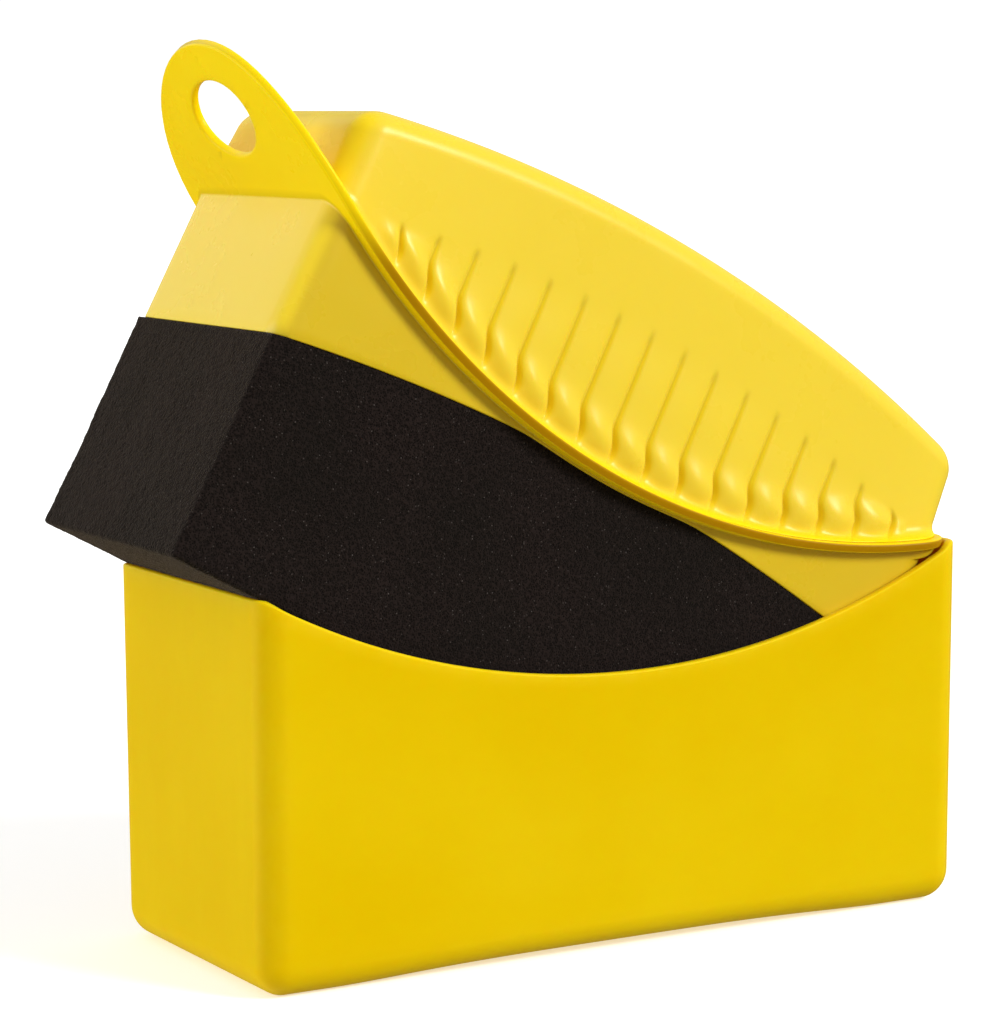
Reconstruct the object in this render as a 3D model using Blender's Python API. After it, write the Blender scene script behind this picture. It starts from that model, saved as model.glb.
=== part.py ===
"""Tyre dressing applicator standing tilted in its open storage box.

The box is one thin-walled moulding whose long rims dip in an arc. The applicator is a hollow
moulded handle with an arched flange, a hang tab and a skirt, a sponge plate let into the skirt,
a film of adhesive and a foam pad. The frame is the middle of the box's underside, +X along the
length and +Z up. The applicator is modelled level, about its own middle, then tilted.
"""
import math

import bmesh
import bpy
from mathutils import Matrix, Vector

# Storage box, outside sizes at the rim.
BOX_LENGTH = 0.155
BOX_WIDTH = 0.0637
BOX_HEIGHT = 0.0727
BOX_WALL = 0.0018
BOX_FLOOR = 0.0020
BOX_CORNER_RADIUS = 0.0056
BOX_FOOT_RADIUS = 0.0062
BOX_END_DRAFT = 0.0002
BOX_SIDE_DRAFT = 0.0007
RIM_ARC_RADIUS = 0.1605
RIM_ARC_CENTRE_X = -0.0006
RIM_DIP = 0.0192
RIM_EDGE_RADIUS = 0.0005

# Where the applicator leans: its right-hand flange tip in the box frame, and its tilt.
TILT = math.radians(28.05)
TIP_X = 0.0741
TIP_Z = 0.0717

# Flange and hang tab, about the applicator's middle. Z = 0 is the flange tip's underside.
FLANGE_HALF_LENGTH = 0.0783
FLANGE_HALF_WIDTH = 0.0323
FLANGE_RADIUS = 0.1484
FLANGE_THICKNESS = 0.0018
FLANGE_CORNER_RADIUS = 0.0075
TAB_START_ANGLE = math.radians(29.4)
TAB_TIP_ANGLE = math.radians(42.5)
HANG_HOLE_ANGLE = math.radians(36.7)
HANG_HOLE_HALF_WIDTH = 0.0112
HANG_HOLE_HALF_HEIGHT = 0.0074

# Grip dome.
GRIP_CENTRE_X = 0.0003
GRIP_HALF_LENGTH = 0.0759
GRIP_HALF_WIDTH_TOP = 0.0268
GRIP_HALF_WIDTH_BASE = 0.0281
GRIP_CROWN_HEIGHT = 0.0269
GRIP_CROWN_RADIUS = 0.3174
GRIP_EDGE_RADIUS = 0.0050
GRIP_CORNER_RADIUS = 0.0055
COVE_RADIUS = 0.0035
SHELL_WALL = 0.0022

# Hollow inside the grip.
HOLLOW_HALF_LENGTH = 0.0720
HOLLOW_HALF_WIDTH = 0.0245
HOLLOW_CORNER_RADIUS = 0.0040

# Finger grooves down both long sides of the grip.
GROOVE_COUNT = 16
GROOVE_PITCH = 0.00823
GROOVE_MIDDLE_X = 0.0010
GROOVE_DEPTH = 0.0007
GROOVE_HALF_WIDTH = 0.0008
GROOVE_TOP_DROP = 0.0195
PUFF = 0.0007

# Skirt below the flange and the arched face that the sponge is glued to.
SKIRT_HALF_LENGTH = 0.0753
SKIRT_HALF_WIDTH = 0.0294
SKIRT_CORNER_RADIUS = 0.0050
SKIRT_FLARE_HALF_LENGTH = 0.0768
SKIRT_FLARE_RADIUS = 0.0022
SKIRT_FLARE_HEIGHT = 0.0023
SKIRT_WALL = 0.0018
PLATE_LEDGE = 0.0009
ARCH_RADIUS = 0.434
ARCH_CROWN_Z = -0.0204
SKIRT_LEAST_HEIGHT = 0.0005

# Sponge plate, adhesive film and foam pad.
PLATE_THICKNESS = 0.0020
FILM_THICKNESS = 0.0003
FILM_INSET = 0.0015
PAD_HALF_LENGTH = 0.0752
PAD_HALF_WIDTH = 0.0290
PAD_CORNER_RADIUS = 0.0030
PAD_BOTTOM_Z = -0.0697
GAP = 0.0003
BOND_GAP = 0.0001


def circle_rise(x, radius):
    """Height of a circular arc above its lowest point, at a distance x from it."""
    return radius - math.sqrt(radius * radius - x * x)


def flange_under(x):
    """Underside of the flange, zero at its right-hand tip."""
    return circle_rise(x, FLANGE_RADIUS) - circle_rise(0.077, FLANGE_RADIUS)


def flange_over(x):
    """Upper face of the flange, one thickness further in along the arc's radius."""
    inner = FLANGE_RADIUS - FLANGE_THICKNESS
    reach = min(abs(x), inner * 0.95)
    middle_z = FLANGE_RADIUS - circle_rise(0.077, FLANGE_RADIUS)
    return middle_z - math.sqrt(inner * inner - reach * reach)


def grip_top(x):
    return GRIP_CROWN_HEIGHT - circle_rise(x - GRIP_CENTRE_X, GRIP_CROWN_RADIUS)


def skirt_rim(x):
    """Lower edge of the skirt: a shallow arch, kept just under the flange at the middle."""
    arch = ARCH_CROWN_Z - circle_rise(x, ARCH_RADIUS)
    limit = flange_under(x) - SKIRT_LEAST_HEIGHT
    blend = 0.0004
    both = math.exp(-arch / blend) + math.exp(-limit / blend)
    return -blend * math.log(both)


def box_rim(x):
    """Top edge of the box: level at the ends and dipped along the long sides."""
    arc = BOX_HEIGHT - RIM_DIP + circle_rise(
        min(abs(x - RIM_ARC_CENTRE_X), RIM_ARC_RADIUS * 0.9), RIM_ARC_RADIUS
    )
    return min(arc, BOX_HEIGHT)


def side_stations(half_length, count):
    return [half_length * (2.0 * i / count - 1.0) for i in range(count + 1)]


def outline(half_x, half_y, radius, side_xs, end_count, corner_count, centre_x=0.0):
    """A rounded rectangle as (x, y, t) from the near left corner, t running 0 to 4 side by side."""
    reach = half_x - radius
    span = max(abs(side_xs[0]), abs(side_xs[-1]))
    near = [(x / span * reach, i / (len(side_xs) - 1)) for i, x in enumerate(side_xs)]
    points = [(centre_x + x, -half_y, t) for x, t in near]
    end = []
    for i in range(1, corner_count):
        turn = math.pi / 2 * i / corner_count
        end.append((reach + radius * math.sin(turn), -half_y + radius * (1 - math.cos(turn))))
    for i in range(end_count + 1):
        end.append((half_x, (half_y - radius) * (2.0 * i / end_count - 1.0)))
    for i in range(1, corner_count):
        turn = math.pi / 2 * (1 - i / corner_count)
        end.append((reach + radius * math.sin(turn), half_y - radius * (1 - math.cos(turn))))
    steps = len(end) + 1
    points += [(centre_x + x, y, 1 + (i + 1) / steps) for i, (x, y) in enumerate(end)]
    points += [(centre_x + x, half_y, 3.0 - t) for x, t in reversed(near)]
    points += [(centre_x - x, -y, 3 + (i + 1) / steps) for i, (x, y) in enumerate(end)]
    return points


def flange_outline(side_xs, end_count, corner_count):
    """Flange edge as (arc length, y, t): round corners on the right, a half ellipse on the left."""
    plain = outline(1.0, 1.0, 0.5, side_xs, end_count, corner_count)
    right = FLANGE_RADIUS * math.asin(FLANGE_HALF_LENGTH / FLANGE_RADIUS)
    tab_start = -FLANGE_RADIUS * TAB_START_ANGLE
    side_run = right - FLANGE_CORNER_RADIUS - tab_start
    points = []
    for _, _, t in plain:
        if t <= 1.0:
            points.append((tab_start + side_run * t, -FLANGE_HALF_WIDTH, t))
        elif t < 2.0:
            points.append((*flange_right_end(right, t - 1.0), t))
        elif t <= 3.0:
            points.append((tab_start + side_run * (3.0 - t), FLANGE_HALF_WIDTH, t))
        else:
            points.append((*hang_tab_edge(tab_start, t - 3.0), t))
    return points


def hang_tab_edge(start, share):
    """A point on the half ellipse of the hang tab, from its far side round to its near side."""
    reach = FLANGE_RADIUS * (TAB_TIP_ANGLE - TAB_START_ANGLE)
    turn = math.pi * (share - 0.5)
    return (start - reach * math.cos(turn), -FLANGE_HALF_WIDTH * math.sin(turn))


def flange_right_end(right, share):
    """A point on the right-hand end, whose two round corners take 30% of the way each."""
    radius = FLANGE_CORNER_RADIUS
    straight = FLANGE_HALF_WIDTH - radius
    if 0.3 <= share <= 0.7:
        return (right, straight * (share - 0.5) / 0.2)
    side = -1.0 if share < 0.5 else 1.0
    turn = math.pi / 2 * min(share, 1.0 - share) / 0.3
    return (
        right - radius * (1.0 - math.sin(turn)),
        side * (straight + radius * math.cos(turn)),
    )


def stitch(mesh, first, second):
    """Joins two rings of (vertex, t) with quads, and with triangles where the counts differ."""
    i = j = 0
    n, m = len(first), len(second)
    while i < n or j < m:
        next_i = first[i + 1][1] if i + 1 < n else 4.0
        next_j = second[j + 1][1] if j + 1 < m else 4.0
        a, b = first[i % n][0], second[j % m][0]
        c, d = second[(j + 1) % m][0], first[(i + 1) % n][0]
        if i >= n or (j < m and next_j < next_i - 1e-6):
            mesh.faces.new((a, b, c))
            j += 1
        elif j >= m or next_i < next_j - 1e-6:
            mesh.faces.new((a, b, d))
            i += 1
        else:
            mesh.faces.new((a, b, c, d))
            i += 1
            j += 1


def close_ring(mesh, ring):
    """Fills a ring with strips between its near side and its far side."""
    near = [vertex for vertex, t in ring if t <= 1.0]
    far = [vertex for vertex, t in ring if 2.0 <= t <= 3.0][::-1]
    right = [vertex for vertex, t in ring if 1.0 <= t <= 2.0]
    left = [vertex for vertex, t in ring if t >= 3.0] + [ring[0][0]]
    for i in range(len(near) - 1):
        mesh.faces.new((near[i], near[i + 1], far[i + 1], far[i]))
    mesh.faces.new(right)
    mesh.faces.new(left)


def ring_body(name, rings):
    """One closed body from rings of (x, y, z, t), capped across its first and last ring."""
    mesh = bmesh.new()
    made = [[(mesh.verts.new(point[:3]), point[3]) for point in ring] for ring in rings]
    for first, second in zip(made, made[1:]):
        stitch(mesh, first, second)
    close_ring(mesh, made[0])
    close_ring(mesh, made[-1])
    bmesh.ops.recalc_face_normals(mesh, faces=mesh.faces)
    return object_from(name, mesh)


def object_from(name, mesh):
    data = bpy.data.meshes.new(name)
    mesh.to_mesh(data)
    mesh.free()
    data.shade_smooth()
    data.set_sharp_from_angle(angle=math.radians(35))
    obj = bpy.data.objects.new(name, data)
    bpy.context.scene.collection.objects.link(obj)
    return obj


def material(name, colour, roughness):
    made = bpy.data.materials.new(name)
    made.use_nodes = True
    shader = made.node_tree.nodes["Principled BSDF"]
    shader.inputs["Base Color"].default_value = (*colour, 1.0)
    shader.inputs["Roughness"].default_value = roughness
    shader.inputs["Metallic"].default_value = 0.0
    return made


def lift(plan, height):
    """A level or curved ring: the plan outline with a height worked out at each point."""
    return [(x, y, height(x), t) for x, y, t in plan]


def box_plan(inset, z):
    """Outline of the box at a height, with its draft and a further inset."""
    low = 1.0 - z / BOX_HEIGHT
    half_x = BOX_LENGTH / 2 - inset - BOX_END_DRAFT * low
    half_y = BOX_WIDTH / 2 - inset - BOX_SIDE_DRAFT * low
    radius = max(BOX_CORNER_RADIUS - inset, 0.0012)
    return outline(half_x, half_y, radius, side_stations(1.0, 28), 2, 5)


def wall_ring(inset, drop):
    """Ring just under the rim, where each point's draft follows its own height."""
    ring = []
    for x, y, t in box_plan(inset, BOX_HEIGHT):
        z = box_rim(x) - drop
        draft = BOX_SIDE_DRAFT * (1.0 - z / BOX_HEIGHT)
        ring.append((x, y * (1.0 - 2.0 * draft / BOX_WIDTH), z, t))
    return ring


def level_ring(inset, z):
    return lift(box_plan(inset, z), lambda x: z)


def make_box():
    """The storage box, from its underside up the outside, over the rim and down the inside."""
    foot = BOX_FOOT_RADIUS
    rings = []
    for i in range(6):
        turn = math.pi / 2 * i / 5
        rings.append(level_ring(foot * (1 - math.sin(turn)), foot * (1 - math.cos(turn))))
    edge = RIM_EDGE_RADIUS
    rings.append(wall_ring(0.0, edge))
    rings.append(wall_ring(edge * 0.3, edge * 0.3))
    rings.append(wall_ring(edge, 0.0))
    rings.append(wall_ring(BOX_WALL - edge, 0.0))
    rings.append(wall_ring(BOX_WALL - edge * 0.3, edge * 0.3))
    rings.append(wall_ring(BOX_WALL, edge))
    inner = foot - BOX_WALL
    for i in range(5):
        turn = math.pi / 2 * i / 4
        inset = BOX_WALL + inner * (1 - math.cos(turn))
        rings.append(level_ring(inset, BOX_FLOOR + inner * (1 - math.sin(turn))))
    return ring_body("storage_box", rings)


def groove_stations():
    """Stations along the grip, close together at each groove line."""
    first = GROOVE_MIDDLE_X - GROOVE_PITCH * (GROOVE_COUNT - 1) / 2
    xs = [-GRIP_HALF_LENGTH + GRIP_CORNER_RADIUS]
    for i in range(GROOVE_COUNT):
        line = first + GROOVE_PITCH * i
        xs += [line - GROOVE_PITCH / 2] if i else [line - GROOVE_PITCH * 0.3]
        xs += [line - GROOVE_HALF_WIDTH, line, line + GROOVE_HALF_WIDTH]
    xs.append(xs[-1] + GROOVE_PITCH * 0.25)
    xs.append(GRIP_HALF_LENGTH - GRIP_CORNER_RADIUS)
    return xs


def groove_offset(x, z):
    """How far the long side stands out, or is cut in, at a point of the finger grooves."""
    first = GROOVE_MIDDLE_X - GROOVE_PITCH * (GROOVE_COUNT - 1) / 2
    place = (x - first) / GROOVE_PITCH
    near = abs(place - round(place)) * GROOVE_PITCH
    outside = max(-place, place - (GROOVE_COUNT - 1), 0.0)
    if outside > 0.5:
        return 0.0
    top = grip_top(x) - GROOVE_TOP_DROP
    depth_down = min(max((top - z) / 0.004, 0.0), 1.0)
    puff = PUFF * min(max((top - z) / 0.018, 0.0), 1.0) * (1.0 - (2 * near / GROOVE_PITCH - 1) ** 2)
    cut = GROOVE_DEPTH * max(1.0 - near / GROOVE_HALF_WIDTH, 0.0)
    return (puff - cut) * depth_down


def grip_plan(inset, width, stations, ends):
    return outline(
        GRIP_HALF_LENGTH - inset,
        width - inset,
        max(GRIP_CORNER_RADIUS - inset, 0.0008),
        stations,
        ends,
        4,
        GRIP_CENTRE_X,
    )


def hollow_plan(inset, stations):
    """Outline of the hollow inside the grip, less an inset."""
    radius = max(HOLLOW_CORNER_RADIUS - inset, 0.0008)
    return outline(HOLLOW_HALF_LENGTH - inset, HOLLOW_HALF_WIDTH - inset, radius, stations, 2, 4)


def crown_rings(plan_at, edge, wall):
    """Rings from the middle of a crown out over its rounded edge, a wall thickness down."""
    rings = []
    for i in range(5):
        turn = math.pi / 2 * i / 4
        plan = plan_at(edge * (1 - math.sin(turn)))
        drop = wall + edge * (1 - math.cos(turn))
        rings.append([(x, y, grip_top(x) - drop, t) for x, y, t in plan])
    return rings


def grip_side_rings(stations):
    """Outer side of the grip from under its rounded edge to the top of the cove."""
    rings = []
    for i in range(1, 7):
        share = i / 6
        width = GRIP_HALF_WIDTH_TOP + (GRIP_HALF_WIDTH_BASE - GRIP_HALF_WIDTH_TOP) * share
        ring = []
        for x, y, t in grip_plan(0.0, width, stations, 2):
            top = grip_top(x) - GRIP_EDGE_RADIUS
            base = flange_over(x) + cove_height(x)
            z = top + (base - top) * share
            if t <= 1.0 or 2.0 <= t <= 3.0:
                y += math.copysign(groove_offset(x, z), y)
            ring.append((x, y, z, t))
        rings.append(ring)
    return rings


def cove_height(x):
    """Height of the cove over the flange, less at the right-hand end, where the ledge is narrow."""
    ledge = FLANGE_HALF_LENGTH - abs(x) if x > 0 else COVE_RADIUS
    return min(COVE_RADIUS, max(ledge, 0.0016))


def on_flange(s, y, t, rise):
    """A point at an arc length along the flange's underside, raised along the arc's radius."""
    angle = s / FLANGE_RADIUS
    reach = FLANGE_RADIUS - rise
    middle_z = FLANGE_RADIUS - circle_rise(0.077, FLANGE_RADIUS)
    return (reach * math.sin(angle), y, middle_z - reach * math.cos(angle), t)


def arc_length(x, rise):
    return FLANGE_RADIUS * math.asin(x / (FLANGE_RADIUS - rise))


def blend_to_edge(base, edge, share, rise, reach=0.0):
    """A ring on the flange: out from an inner outline by a reach, then by a share of the rest.

    It stops short of the edge by enough for the edge's own rounding.
    """
    ring = []
    for (x, y, t), (s_edge, y_edge, t_edge) in zip(base, edge):
        s = arc_length(x, rise)
        length = math.hypot(s_edge - s, y_edge - y)
        usable = length - 0.0006
        first = min(reach, 0.6 * usable)
        part = (first + (usable - first) * share) / length
        ring.append((s + (s_edge - s) * part, y + (y_edge - y) * part, t))
    return ring


def flange_rings(stations):
    """The cove, the upper face, the edge and the underside of the flange and its hang tab."""
    base = grip_plan(0.0, GRIP_HALF_WIDTH_BASE, stations, 2)
    edge = flange_outline(stations, 2, 4)
    over = FLANGE_THICKNESS
    rings = []
    for i in range(1, 4):
        turn = math.pi / 2 * i / 3
        flat = blend_to_edge(base, edge, 0.0, over, COVE_RADIUS * (1 - math.cos(turn)))
        ring = []
        for point, (base_x, _, _) in zip(flat, base):
            x, y, z, t = on_flange(*point, over)
            ring.append((x, y, z + cove_height(base_x) * (1 - math.sin(turn)), t))
        rings.append(ring)
    for share in (0.3, 0.6):
        flat = blend_to_edge(base, edge, share, over, COVE_RADIUS)
        rings.append([on_flange(*p, over) for p in flat])
    for inset, rise in ((0.0004, over), (0.0, over - 0.0005), (0.0, 0.0004), (0.0004, 0.0)):
        rings.append([on_flange(*p, rise) for p in inset_ring(edge, inset)])
    skirt = skirt_plan(0.0, stations, 1.0)
    for share in (0.65, 0.35):
        rings.append([on_flange(*p, 0.0) for p in blend_to_edge(skirt, edge, share, 0.0)])
    return rings


def inset_ring(ring, inset):
    """Moves each point of a flange outline towards the flange's middle line."""
    moved = []
    for s, y, t in ring:
        centre = max(min(s, 0.065), -0.075)
        away = Vector((s - centre, y))
        away *= 1.0 - inset / away.length
        moved.append((centre + away.x, away.y, t))
    return moved


def skirt_plan(inset, stations, flare=0.0):
    """Outline of the skirt. Its right-hand end flares out under the flange's tip."""
    radius = max(SKIRT_CORNER_RADIUS - inset, 0.0008)
    half_y = SKIRT_HALF_WIDTH - inset
    plain = outline(SKIRT_HALF_LENGTH - inset, half_y, radius, stations, 2, 4)
    wide = outline(SKIRT_FLARE_HALF_LENGTH, half_y, SKIRT_FLARE_RADIUS, stations, 2, 4)
    plan = []
    for (x, y, t), (wide_x, wide_y, _) in zip(plain, wide):
        share = flare if x > 0 else 0.0
        plan.append((x + (wide_x - x) * share, y + (wide_y - y) * share, t))
    return plan


def flare_end(x):
    """Height at which the skirt's flare has run out."""
    top, rim = flange_under(x), skirt_rim(x)
    return max(top - SKIRT_FLARE_HEIGHT, (top + rim) / 2)


def shell_rings():
    """The whole moulding, from the crown down the outside, round the skirt and up the inside."""
    coarse = side_stations(1.0, 24)
    rings = crown_rings(
        lambda inset: grip_plan(inset, GRIP_HALF_WIDTH_TOP, coarse, 2), GRIP_EDGE_RADIUS, 0.0
    )
    rings += grip_side_rings(groove_stations())
    rings += flange_rings(coarse)
    rings.append(lift(skirt_plan(0.0, coarse, 1.0), flange_under))
    rings.append(lift(skirt_plan(0.0, coarse), flare_end))
    rings.append(lift(skirt_plan(0.0, coarse), skirt_rim))
    seat = PLATE_THICKNESS + GAP
    rings.append(lift(skirt_plan(SKIRT_WALL, coarse), skirt_rim))
    rings.append(lift(skirt_plan(SKIRT_WALL, coarse), lambda x: skirt_rim(x) + seat))
    rings.append(lift(skirt_plan(SKIRT_WALL + PLATE_LEDGE, coarse), lambda x: skirt_rim(x) + seat))
    rings += crown_rings(
        lambda inset: hollow_plan(inset, coarse), GRIP_EDGE_RADIUS - SHELL_WALL / 2, SHELL_WALL
    )[::-1]
    return rings


def make_shell():
    shell = ring_body("handle_shell", shell_rings())
    cutter = hang_hole_cutter()
    cut = shell.modifiers.new("hang_hole", "BOOLEAN")
    cut.operation = "DIFFERENCE"
    cut.solver = "EXACT"
    cut.object = cutter
    return shell, cutter


def hang_hole_cutter():
    """An elliptical plug square to the tab, through the hang hole."""
    mesh = bmesh.new()
    bmesh.ops.create_cone(
        mesh, cap_ends=True, segments=28, radius1=1.0, radius2=1.0, depth=0.012
    )
    shape = Matrix.Diagonal((HANG_HOLE_HALF_HEIGHT, HANG_HOLE_HALF_WIDTH, 1.0, 1.0))
    bmesh.ops.transform(mesh, matrix=shape, verts=mesh.verts)
    middle = on_flange(-FLANGE_RADIUS * HANG_HOLE_ANGLE, 0.0, 0.0, FLANGE_THICKNESS / 2)
    turn = Matrix.Rotation(HANG_HOLE_ANGLE, 4, "Y")
    bmesh.ops.transform(mesh, matrix=Matrix.Translation(middle[:3]) @ turn, verts=mesh.verts)
    cutter = object_from("hang_hole_cutter", mesh)
    cutter.hide_render = True
    cutter.display_type = "WIRE"
    return cutter


def slab(name, inset, top, bottom):
    """A plate that fills the skirt's outline less an inset, between two heights."""
    stations = side_stations(1.0, 24)
    plan = skirt_plan(inset, stations)
    return ring_body(name, [lift(plan, top), lift(plan, bottom)])


def make_pad():
    """The foam pad: arched top against the film, flat bottom."""
    stations = side_stations(1.0, 24)
    plan = outline(PAD_HALF_LENGTH, PAD_HALF_WIDTH, PAD_CORNER_RADIUS, stations, 2, 3)
    low = outline(
        PAD_HALF_LENGTH - 0.0006, PAD_HALF_WIDTH - 0.0006, PAD_CORNER_RADIUS, stations, 2, 3
    )
    top_z = 2 * BOND_GAP + FILM_THICKNESS
    return ring_body(
        "sponge_pad",
        [
            lift(plan, lambda x: skirt_rim(x) - top_z),
            lift(plan, lambda x: PAD_BOTTOM_Z + 0.0008),
            lift(low, lambda x: PAD_BOTTOM_Z),
        ],
    )


def main():
    for obj in list(bpy.data.objects):
        bpy.data.objects.remove(obj, do_unlink=True)

    box_yellow = material("box_yellow_plastic", (0.84, 0.52, 0.002), 0.34)
    grip_yellow = material("handle_yellow_plastic", (0.86, 0.62, 0.02), 0.32)
    plate_yellow = material("plate_yellow_plastic", (0.80, 0.52, 0.01), 0.45)
    glue = material("clear_adhesive", (0.55, 0.50, 0.38), 0.35)
    foam = material("black_foam", (0.012, 0.010, 0.010), 0.95)

    box = make_box()
    shell, cutter = make_shell()
    plate = slab(
        "sponge_plate",
        SKIRT_WALL + GAP,
        lambda x: skirt_rim(x) + PLATE_THICKNESS,
        skirt_rim,
    )
    film = slab(
        "adhesive_film",
        FILM_INSET,
        lambda x: skirt_rim(x) - BOND_GAP,
        lambda x: skirt_rim(x) - BOND_GAP - FILM_THICKNESS,
    )
    pad = make_pad()

    looks = ((box, box_yellow), (shell, grip_yellow), (plate, plate_yellow), (film, glue), (pad, foam))
    for obj, look in looks:
        obj.data.materials.append(look)

    leaning = bpy.data.objects.new("applicator_pose", None)
    bpy.context.scene.collection.objects.link(leaning)
    leaning.location = (TIP_X, 0.0, TIP_Z)
    leaning.rotation_euler = (0.0, TILT, 0.0)
    for obj in (shell, cutter, plate, film, pad):
        obj.parent = leaning
        obj.location = (-0.077, 0.0, 0.0)


main()
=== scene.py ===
"""Looks of the tyre dressing applicator that leans in its open storage box.

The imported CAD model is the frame. The box, the handle moulding and the foam pad are rebuilt here
as fine meshes in the places that the CAD gives them. The sponge plate and the adhesive film stay
CAD nodes with materials of their own.
"""

import math

import bpy
import numpy as np
from mathutils import Matrix, Vector

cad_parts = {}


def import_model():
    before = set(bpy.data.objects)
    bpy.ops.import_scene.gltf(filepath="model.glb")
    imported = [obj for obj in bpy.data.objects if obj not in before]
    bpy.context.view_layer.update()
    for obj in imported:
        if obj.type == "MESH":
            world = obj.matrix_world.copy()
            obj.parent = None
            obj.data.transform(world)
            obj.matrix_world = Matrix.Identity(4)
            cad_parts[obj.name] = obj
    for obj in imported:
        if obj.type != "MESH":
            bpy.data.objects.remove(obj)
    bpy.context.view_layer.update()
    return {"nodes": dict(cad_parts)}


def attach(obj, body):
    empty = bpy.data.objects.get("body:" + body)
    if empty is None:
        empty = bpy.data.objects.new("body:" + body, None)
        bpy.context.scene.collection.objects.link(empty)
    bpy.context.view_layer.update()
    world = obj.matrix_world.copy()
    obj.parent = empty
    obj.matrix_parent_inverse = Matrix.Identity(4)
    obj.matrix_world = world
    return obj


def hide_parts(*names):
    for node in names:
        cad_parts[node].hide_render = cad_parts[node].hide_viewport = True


# Storage box, metres, outside sizes at the rim.
BOX_LENGTH = 0.155
BOX_WIDTH = 0.0637
BOX_HEIGHT = 0.0727
BOX_WALL = 0.0018
BOX_FLOOR = 0.0020
BOX_CORNER_RADIUS = 0.0056
BOX_FOOT_RADIUS = 0.0062
BOX_END_DRAFT = 0.0002
BOX_SIDE_DRAFT = 0.0007
RIM_ARC_RADIUS = 0.1605
RIM_ARC_CENTRE_X = -0.0006
RIM_DIP = 0.0192
RIM_EDGE_RADIUS = 0.0005
BOX_LEAST_RADIUS = 0.0012
BASE_ARCH = 0.0010
BASE_ARCH_HALF_LENGTH = 0.062
BASE_ARCH_FADE_HEIGHT = 0.012
FLOOR_ARCH_SHARE = 0.85
PANEL_HALF_LENGTH = 0.066
PANEL_HALF_WIDTH = 0.0215
PANEL_DEPTH = 0.0004
PANEL_SLOPE = 0.0010
GATE_MARK_HEIGHT = 0.0009
GATE_MARK_RADIUS = 0.0022

# The applicator is built level, about its own middle, then leaned into the box.
TILT = math.radians(28.05)
TIP = (0.0741, 0.0, 0.0717)
TIP_FROM_MIDDLE = 0.077
LEAST_RADIUS = 0.0008

# Flange and hang tab.
FLANGE_HALF_LENGTH = 0.0783
FLANGE_HALF_WIDTH = 0.0323
FLANGE_RADIUS = 0.1484
FLANGE_THICKNESS = 0.0018
FLANGE_CORNER_RADIUS = 0.0075
FLANGE_TOP_RADIUS = 0.0006
FLANGE_LOW_RADIUS = 0.0004
FLANGE_EDGE_SLOPE = 0.0004
TAB_START_ANGLE = math.radians(29.4)
TAB_TIP_ANGLE = math.radians(42.5)
HANG_HOLE_ANGLE = math.radians(36.7)
HANG_HOLE_HALF_WIDTH = 0.0112
HANG_HOLE_HALF_HEIGHT = 0.0074
HANG_HOLE_FLARE = 0.0007
HANG_HOLE_STRAIGHT = 0.3

# Grip dome, its hollow and its finger grooves.
GRIP_CENTRE_X = 0.0003
GRIP_HALF_LENGTH = 0.0759
GRIP_HALF_WIDTH_TOP = 0.0268
GRIP_HALF_WIDTH_BASE = 0.0281
GRIP_CROWN_HEIGHT = 0.0269
GRIP_CROWN_RADIUS = 0.3174
GRIP_EDGE_RADIUS = 0.0050
GRIP_CORNER_RADIUS = 0.0055
CROWN_FULLNESS = 0.0004
COVE_RADIUS = 0.0035
COVE_LEAST_HEIGHT = 0.0016
SHELL_WALL = 0.0022
HOLLOW_HALF_LENGTH = 0.0720
HOLLOW_HALF_WIDTH = 0.0245
HOLLOW_CORNER_RADIUS = 0.0040
GROOVE_COUNT = 16
GROOVE_PITCH = 0.00823
GROOVE_MIDDLE_X = 0.0010
GROOVE_DEPTH = 0.0006
GROOVE_WIDTH = 0.00055
GROOVE_TOP_DROP = 0.0190
GROOVE_LEAN = 0.0018
GROOVE_LEAN_START = 0.0090
SWELL = 0.0004
PUFF = 0.0010
PUFF_HEIGHT = 0.0054
PUFF_SPREAD = 0.0030

# Skirt, and the foam pad below it.
SKIRT_HALF_LENGTH = 0.0753
SKIRT_HALF_WIDTH = 0.0294
SKIRT_CORNER_RADIUS = 0.0050
SKIRT_FLARE_HALF_LENGTH = 0.0768
SKIRT_FLARE_HEIGHT = 0.0023
SKIRT_TOP_FILLET = 0.0004
SKIRT_WALL = 0.0018
SKIRT_EDGE_RADIUS = 0.0003
PLATE_LEDGE = 0.0009
PLATE_SEAT = 0.0023
ARCH_RADIUS = 0.434
ARCH_CROWN_Z = -0.0204
SKIRT_LEAST_HEIGHT = 0.0005
PAD_HALF_LENGTH = 0.0753
PAD_HALF_WIDTH = 0.0290
PAD_TOP_DROP = 0.0005
PAD_BOTTOM_Z = -0.0700
PAD_EDGE_RADIUS = 0.0009
PAD_LIP = 0.00047
PAD_LIP_WIDTH = 0.0012
PAD_SIDE_WAIST = 0.012
PAD_END_WAIST = 0.0025

# Bends of these radii, or sharper, count in full as a worn edge or as a hollow that gets painted
# shade.
WORN_EDGE_RADIUS = 0.0025
HOLLOW_RADIUS = 0.0008

# Gloss of the flange and hang tab, and what the other places of the handle add to it.
GLOSS = {"flange": 0.12, "dome": 0.17, "skirt": 0.43, "end": 0.05, "rim": -0.04}

# Brightness of the studio below the horizon, overhead and behind the object.
SKY_LOW = 0.12
SKY_HIGH = 0.48
BACKDROP = 1.05
FLOOR_HALF_SIDE = 60.0

CAMERA_AZIMUTH = math.radians(-30.17)
CAMERA_ELEVATION = math.radians(7.0)
CAMERA_ROLL = math.radians(-0.28)
CAMERA_TARGET = (-0.01246, 0.0, 0.08106)
CAMERA_DISTANCE = 0.644
CAMERA_LENS = 117.6


# ---------------------------------------------------------------- shared shapes


def circle_rise(x, radius):
    """Height of a circular arc above its lowest point, at a distance x from it."""
    return radius - np.sqrt(radius * radius - x * x)


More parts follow.
